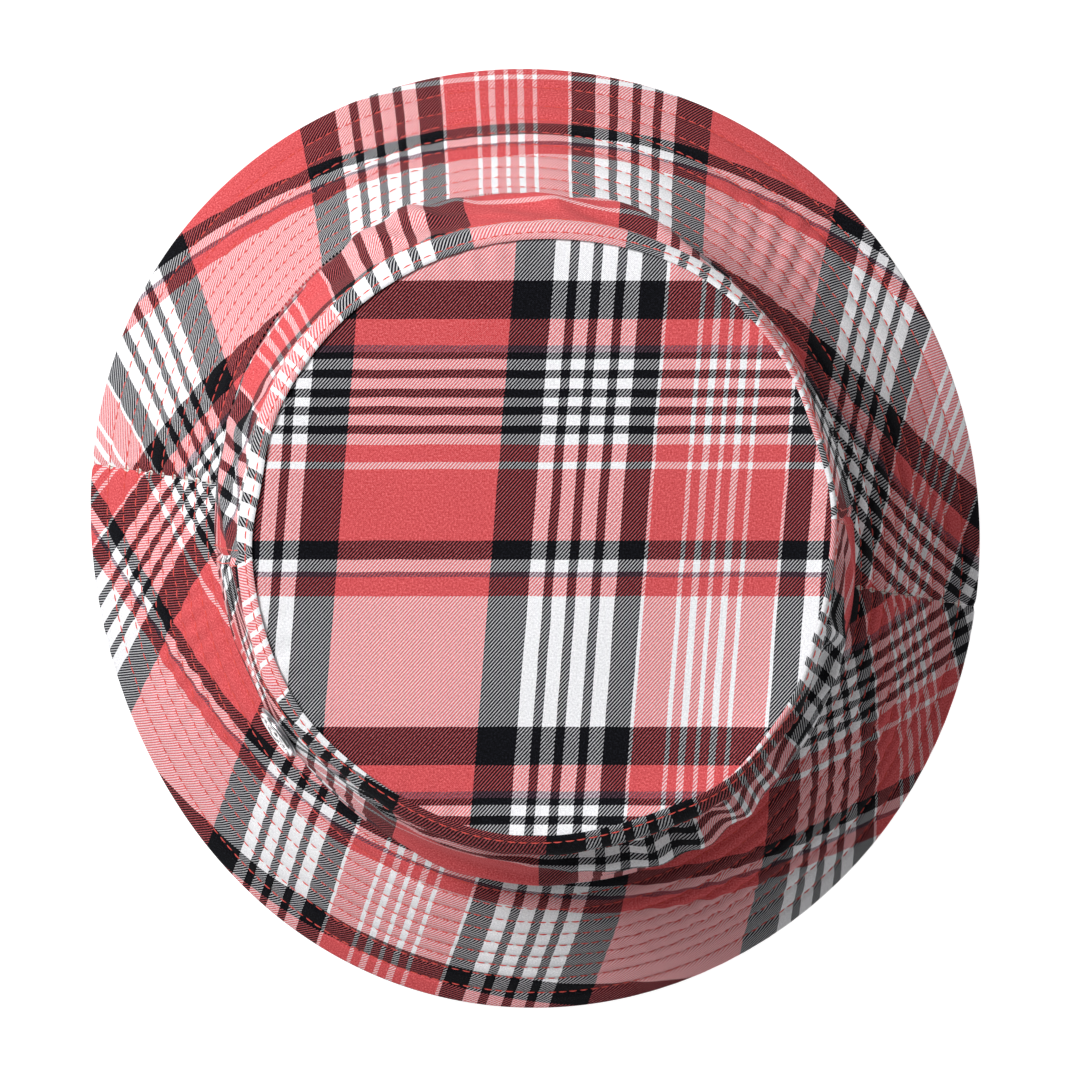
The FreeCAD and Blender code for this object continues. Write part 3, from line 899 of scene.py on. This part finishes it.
def one_stitch():
    """A bowed capsule, one unit long, with its ends pulled down into the cloth."""
    bpy.ops.object.select_all(action="DESELECT")
    bpy.ops.mesh.primitive_uv_sphere_add(segments=6, ring_count=6, radius=0.5)
    stitch = bpy.context.active_object
    points = np.array([vertex.co for vertex in stitch.data.vertices])
    points = points[:, [2, 0, 1]]
    along = points[:, 0].copy()
    blunt, rounded = 1 - (2 * along) ** 4, 1 - (2 * along) ** 2
    fat = np.sqrt(np.maximum(blunt, 0)) / np.sqrt(np.maximum(rounded, 0.01))
    points[:, 1:] *= np.minimum(fat, 1.6)[:, None]
    points[:, 2] += 0.55 - 3.2 * along ** 2
    faces = [tuple(polygon.vertices) for polygon in stitch.data.polygons]
    bpy.data.objects.remove(stitch)
    return points, faces


thread = thread_material()
stitch_points, stitch_faces = one_stitch()
print("one stitch has", len(stitch_faces), "faces")


# %% Sewing a row
def sew(name, rows, replaced, length=0.86, material=thread):
    """Lays stitches along rows. Each row is (points, normals), sampled closely along the seam."""
    vertices, faces = [], []
    for line, normal in rows:
        steps = np.linalg.norm(np.diff(line, axis=0), axis=1)
        travelled = np.concatenate([[0], np.cumsum(steps)])
        count = max(1, int(travelled[-1] / stitch_pitch))
        pitch = travelled[-1] / count
        for number in range(count):
            middle = (number + 0.5 + random.uniform(-0.05, 0.05)) * pitch
            ends = [middle - length * pitch / 2, middle + length * pitch / 2]
            tail, head = (np.array([np.interp(end, travelled, line[:, k]) for k in range(3)]) for end in ends)
            centre = np.array([np.interp(middle, travelled, line[:, k]) for k in range(3)])
            up = normal[min(np.searchsorted(travelled, middle), len(normal) - 1)]
            forward = head - tail
            side = np.cross(up, forward)
            side *= thread_width / np.linalg.norm(side)
            forward = forward + side * random.uniform(-0.25, 0.25)
            base = len(vertices)
            vertices.extend(centre + stitch_points[:, :1] * forward + stitch_points[:, 1:2] * side
                            + stitch_points[:, 2:] * up * thread_width)
            faces.extend([tuple(base + corner for corner in face) for face in stitch_faces])
    mesh = bpy.data.meshes.new(name)
    mesh.from_pydata([tuple(vertex) for vertex in vertices], [], faces)
    seam = bpy.data.objects.new(name, mesh)
    bpy.context.scene.collection.objects.link(seam)
    only(seam)
    bpy.ops.object.mode_set(mode="EDIT")
    bpy.ops.mesh.select_all(action="SELECT")
    bpy.ops.mesh.normals_make_consistent(inside=False)
    bpy.ops.object.mode_set(mode="OBJECT")
    bpy.ops.object.shade_smooth()
    mesh.materials.append(material)
    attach(seam, "hat")
    if replaced:
        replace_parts(seam, *replaced)
    print(name, len(faces) // len(stitch_faces), "stitches")


def ring_row(surface, level, lift, start=0.0, turn=TURN, samples=1400):
    """A row right round the hat at one level of a surface."""
    theta = start + np.linspace(0, turn, samples)
    flat = np.full_like(theta, level)
    height = lift(theta, flat) if callable(lift) else np.full_like(theta, lift)
    normal = normals_of(surface, theta, flat)
    return surface(theta, flat) + normal * height[:, None], normal


brim_rows = [ring_row(brim_surface, row, lambda t, s: quilt_lift(t, s) - 0.05 * MM) for row in quilt_rows]
sew("brim_rows_top", brim_rows, ["brim_topstitch"])
under_rows = []
for row in quilt_rows:
    points, normal = ring_row(brim_surface, row, lambda t, s: -underside_depth - quilt_lift(t, s) + 0.05 * MM)
    under_rows.append((points, -normal))
sew("brim_rows_underside", under_rows, ["brim_understitch"])
crown_rows = [ring_row(band_surface, 1 - drop / band_height, 0.0) for drop in (0.35 * MM, 5.6 * MM)]
sew("crown_rows", crown_rows, ["crown_topstitch"])


def side_row(theta, first, last):
    """A short upright row beside a side seam."""
    up = np.linspace(first, last, 300)
    turned = np.full_like(up, theta)
    return raised(band_surface, turned, up, 0.0), normals_of(band_surface, turned, up)


seam_row_offset = 2.2 * MM / band_middle
side_rows = [side_row(band_seam + half * math.pi + side * seam_row_offset, 0.03, 0.9)
             for half in (0, 1) for side in (-1, 1)]
sew("side_seam_rows", side_rows, ["side_seam_topstitch"])

# %% [markdown]
# ## Inside the crown
# The lining hides the raw edges, and a ribbed cotton tape, the sweatband, grips the head. They are seen
# from below, so their panels face inwards. The lining keeps clear of the folds in the band; the sweatband
# stays a plain cone, because the head keeps it round.

# %% Inner finishes
def ribbed_tape(name, colour, rib_pitch, depth):
    """Woven tape: fine ribs along its length, read from the panel's cut."""
    recipe = Recipe(name, roughness=0.8, sheen=0.1)
    cut = recipe.add("ShaderNodeUVMap", uv_map="cut").outputs[0]
    split = recipe.add("ShaderNodeSeparateXYZ", [(0, cut)])
    rib = recipe.maths("SINE", recipe.maths("MULTIPLY", split.outputs[1], TURN / rib_pitch))
    thread_step = recipe.maths("SINE", recipe.maths("MULTIPLY", split.outputs[0], TURN / (0.7 * MM)))
    weave = recipe.maths("MULTIPLY", rib, thread_step)
    speck = recipe.noise(cut, 1700.0, 3.0)
    shade = recipe.maths("ADD", recipe.span(speck, 0.8, 1.2), recipe.span(weave, -0.06, 0.06))
    return recipe.finish(recipe.shaded(colour, shade), recipe.maths("ADD", weave, rib), depth)


lining_cotton = ribbed_tape("lining_cotton", (0.018, 0.018, 0.022, 1), 0.6 * MM, 0.03 * MM)
sweatband_tape = ribbed_tape("sweatband_tape", (0.022, 0.022, 0.027, 1), 0.9 * MM, 0.08 * MM)
label_satin = ribbed_tape("label_satin", (0.78, 0.77, 0.74, 1), 0.35 * MM, 0.02 * MM)
label_satin.node_tree.nodes["Principled BSDF"].inputs["Roughness"].default_value = 0.42
print("inner finishes ready")


# %% Lining
def label_room(theta, up):
    """How far the lining and the sweatband give way behind the hanging care label."""
    return 0.65 * MM * patch(angle_from(theta, 0), 0, 14) * patch(up, 0.38, 0.12)


def lining_surface(theta, up):
    """The lining's inner face: a plain cone, drawn in above the sweatband to clear the folds."""
    return straight_band(theta, up, drawn_in(up, 2.9) - label_room(theta, up))


def wrap_cut(radius, height):
    """The flat cut of a panel wrapped round the crown."""
    def cut(theta, up):
        return theta * radius, up * height

    return cut


def inside_panel(name, surface, first, last, low, top, columns, rows, cut, material, thickness,
                 body="hat", loop=False):
    """A panel whose face looks inwards, from direction first to last and height low to top."""
    def outline(along, up):
        return last - (last - first) * along, low + (top - low) * up

    return lay_panel(name, columns, rows, outline, surface, cut, material, thickness, loop, body)


for half, side in enumerate(("back", "front")):
    start, end = half_angles(band_seam, half)
    piece = inside_panel(f"lining_side_{side}_cloth", lining_surface, start, end, 0.005, 0.957, 160, 40,
                         wrap_cut(band_middle, 75 * MM), lining_cotton, 0.4 * MM)
    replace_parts(piece, f"lining_side_{side}")


def lining_tip_surface(theta, inward):
    """The lining's tip, a little under the hat's tip."""
    disc = ring_points((tip_radius(-theta) - 7.2 * MM) * (1 - inward), -theta, 0)
    disc[:, 2] = tip_surface(-theta, 0.09 + 0.91 * inward)[:, 2] - 3.2 * MM
    return disc


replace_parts(disc_panel("lining_tip_cloth", 160, 24, lining_tip_surface,
                       lambda points: (points[:, 0], points[:, 1]), lining_cotton, 0.4 * MM),
            "lining_tip")


# %% Sweatband
def level_of(height):
    """How far up the crown a height lies."""
    return (height - opening_height) / (tip_height - opening_height)


band_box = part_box("sweatband")
tape_low, tape_top = level_of(band_box[0][2]), level_of(band_box[1][2])
tape_inset = 4.15 * MM
tape_row_part = 0.93
tape_ribs = 22


def tape_surface(theta, up):
    """The sweatband's face, with its ribs and soft edges."""
    part = (up - tape_low) / (tape_top - tape_low)
    rib = 0.09 * MM * np.sin(part * TURN * tape_ribs)
    edge = 0.25 * MM * (np.exp(-part / 0.03) + np.exp(-(1 - part) / 0.03))
    row = 0.22 * MM * patch(part, tape_row_part, 0.022)
    return straight_band(theta, up, tape_inset + rib - edge - row - label_room(theta, up))


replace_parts(inside_panel("sweatband_tape", tape_surface, 0, TURN, tape_low, tape_top, 260, 110,
                         wrap_cut(87 * MM, 74 * MM), sweatband_tape, 0.8 * MM, loop=True),
            "sweatband")


# %% Join, labels and tab
def inner_patch(name, node, surface, width, material, thickness, body="hat", columns=24, rows=24):
    """A small flat piece at its node's place, bent to a surface."""
    low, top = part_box(node)
    middle = (low + top) / 2
    theta = math.atan2(middle.y, middle.x)
    reach = width / 2 / math.hypot(middle.x, middle.y)
    piece = inside_panel(name, surface, theta - reach, theta + reach, level_of(low.z), level_of(top.z),
                         columns, rows, wrap_cut(math.hypot(middle.x, middle.y), 74 * MM), material,
                         thickness, body)
    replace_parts(piece, node)
    return theta, reach, level_of(low.z), level_of(top.z)


def proud_lining(theta, up):
    """Just inside the lining."""
    return raised(lining_surface, theta, up, -0.55 * MM)


def proud_tape(theta, up):
    """Just inside the sweatband."""
    return straight_band(theta, up, 5.1 * MM)


inner_patch("sweatband_join_patch", "sweatband_join", proud_tape, 12 * MM, sweatband_tape,
            0.8 * MM)
label_place = inner_patch("woven_label_blank", "woven_label", proud_lining, 46 * MM, label_satin,
                          0.4 * MM, columns=60)
inner_patch("size_tab_blank", "size_tab", proud_lining, 12 * MM, label_satin, 0.4 * MM)


# %% Care label
def flat_leaf(low, top, curl):
    """A narrow strip that hangs across X, with a slight curl towards the head."""
    def surface(across, up):
        part = np.clip((up - level_of(low.z)) / (level_of(top.z) - level_of(low.z)), 0, 1)
        x = low.x + 0.05 * MM - curl * (1 - part) ** 2 - 0.25 * curl * (across / low.y) ** 2
        return np.stack([x, across, low.z + (top.z - low.z) * part], axis=1)

    return surface


def leaf_cut(across, up):
    """The flat cut of the strip."""
    return across, up * 74 * MM


for name, node, curl, body in (("care_label_leaf", "care_label", 0.9 * MM, "care_label"),
                               ("care_label_end", "care_label_stub", 0.0, "hat")):
    low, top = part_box(node)
    thickness = min(top.x - low.x, 1.1 * MM) - 0.06 * MM
    leaf = inside_panel(name, flat_leaf(low, top, curl), low.y, top.y, level_of(low.z), level_of(top.z),
                        20, 30, leaf_cut, label_satin, thickness, body)
    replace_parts(leaf, node)

# %% Rows on the inner pieces
def smooth_tape(theta, up):
    """The sweatband's face without its ribs."""
    return straight_band(theta, up, tape_inset - label_room(theta, up))


points, normal = ring_row(smooth_tape, tape_low + tape_row_part * (tape_top - tape_low), -0.02 * MM)
sew("sweatband_row", [(points, -normal)], ["sweatband_stitch"])
theta, reach, low, top = label_place
ends = []
for edge in (-0.96, 0.96):
    up = np.linspace(low + 0.01, top - 0.01, 60)
    turned = np.full_like(up, theta + edge * reach)
    ends.append((proud_lining(turned, up), -normals_of(lining_surface, turned, up)))
sew("woven_label_ends", ends, [], material=label_satin)

# %% [markdown]
# ## The badge
# One small cast badge is riveted to the band: an open rosette of six rings in a rim. Rings and a domed boss
# overlap like the parts of a casting pattern, and a voxel remesh melts them into one skin with soft
# inside corners, which a bevel on each ring couldn't give.

# %% Metal finishes
def bright_metal(name, colour, roughness):
    """Polished plate with faint unevenness."""
    recipe = Recipe(name, roughness=roughness, metallic=1.0)
    where = recipe.add("ShaderNodeTexCoord").outputs["Object"]
    cloud = recipe.noise(where, 900.0, 3.0)
    rough = recipe.span(cloud, roughness * 0.6, roughness * 1.5)
    recipe.tree.links.new(rough, recipe.shader.inputs["Roughness"])
    shade = recipe.mix(cloud, colour, tuple(value * 0.82 for value in colour[:3]) + (1,))
    return recipe.finish(shade, cloud, 0.02 * MM)


badge_silver = bright_metal("badge_silver", (0.86, 0.86, 0.88, 1), 0.16)
plate_steel = bright_metal("plate_steel", (0.5, 0.5, 0.52, 1), 0.35)
for node in ("badge_backplate", "badge_washer"):
    plate = frame["nodes"][node]
    plate.data.materials.clear()
    plate.data.materials.append(plate_steel)
print("plates given", plate_steel.name)

# %% Casting
badge_radius = 7.25 * MM
rim_wire = 0.75 * MM
petals = 6
petal_circle = 4.1 * MM
petal_radius = 1.75 * MM
petal_wire = 0.42 * MM
boss_radius = 2.1 * MM
prong_offset = 3 * MM


def badge_part(adder, squash=None, **settings):
    """Adds one primitive of the casting, with nothing else selected, and may squash it in edit mode."""
    bpy.ops.object.select_all(action="DESELECT")
    adder(**settings)
    if squash:
        bpy.ops.object.mode_set(mode="EDIT")
        bpy.ops.transform.resize(value=squash)
        bpy.ops.object.mode_set(mode="OBJECT")
    return bpy.context.active_object


parts = [badge_part(bpy.ops.mesh.primitive_torus_add, major_radius=badge_radius - rim_wire,
                    minor_radius=rim_wire, major_segments=72, minor_segments=16)]
for petal in range(petals):
    angle = petal * TURN / petals
    place = (petal_circle * math.cos(angle), petal_circle * math.sin(angle), 0.1 * MM)
    parts.append(badge_part(bpy.ops.mesh.primitive_torus_add, major_radius=petal_radius,
                            minor_radius=petal_wire, major_segments=36, minor_segments=12, location=place))
parts.append(badge_part(bpy.ops.mesh.primitive_uv_sphere_add, squash=(1, 1, 0.55), radius=boss_radius,
                        segments=32, ring_count=16))
for side in (-1, 1):
    parts.append(badge_part(bpy.ops.mesh.primitive_cube_add, squash=(0.5, 2.0, 3.6), size=1 * MM,
                            location=(side * prong_offset, 0, -1.9 * MM)))
bpy.ops.object.select_all(action="DESELECT")
for part in parts:
    part.select_set(True)
badge = parts[0]
bpy.context.view_layer.objects.active = badge
bpy.ops.object.transform_apply(location=True, rotation=True, scale=True)
bpy.ops.object.join()
badge.name = "badge_rosette"
for kind, settings in (("REMESH", {"mode": "VOXEL", "voxel_size": 0.13 * MM}),
                       ("SMOOTH", {"iterations": 3})):
    bpy.ops.object.modifier_add(type=kind)
    for setting, value in settings.items():
        setattr(badge.modifiers[-1], setting, value)
    bpy.ops.object.modifier_apply(modifier=badge.modifiers[-1].name)
bpy.ops.object.shade_smooth()
print("badge", len(badge.data.polygons), "faces")

# %% Fixing the badge to the band
plate_stand = 0.45 * MM
seat_theta, seat_up = np.array([badge_direction]), np.array([badge_up])
seat_normal = Vector(normals_of(badge_seat, seat_theta, seat_up)[0])
seat_point = Vector(badge_seat(seat_theta, seat_up)[0])
upward = Vector((badge_seat(seat_theta, seat_up + 0.01) - badge_seat(seat_theta, seat_up))[0]).normalized()
sideways = upward.cross(seat_normal)
seat = Matrix((sideways, upward, seat_normal)).transposed().to_4x4()
seat.translation = seat_point + seat_normal * (plate_stand + rim_wire)
badge.data.transform(seat)
badge.data.materials.append(badge_silver)
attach(badge, "hat")
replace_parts(badge, "badge")

# %% [markdown]
# ## Floor
# The floor is a plain white card that gives off its own light, so the hat throws no shadow on it.

# %% Floor
bpy.ops.object.select_all(action="DESELECT")
bpy.ops.mesh.primitive_plane_add(size=6, location=(0, 0, 0))
floor = bpy.context.active_object
floor.name = "floor"
card = Recipe("pale_card", roughness=0.9)
card.shader.inputs["Base Color"].default_value = (0.3, 0.3, 0.3, 1)
card.shader.inputs["Emission Color"].default_value = (1, 1, 1, 1)
card.shader.inputs["Emission Strength"].default_value = 0.95
floor.data.materials.append(card.finish())
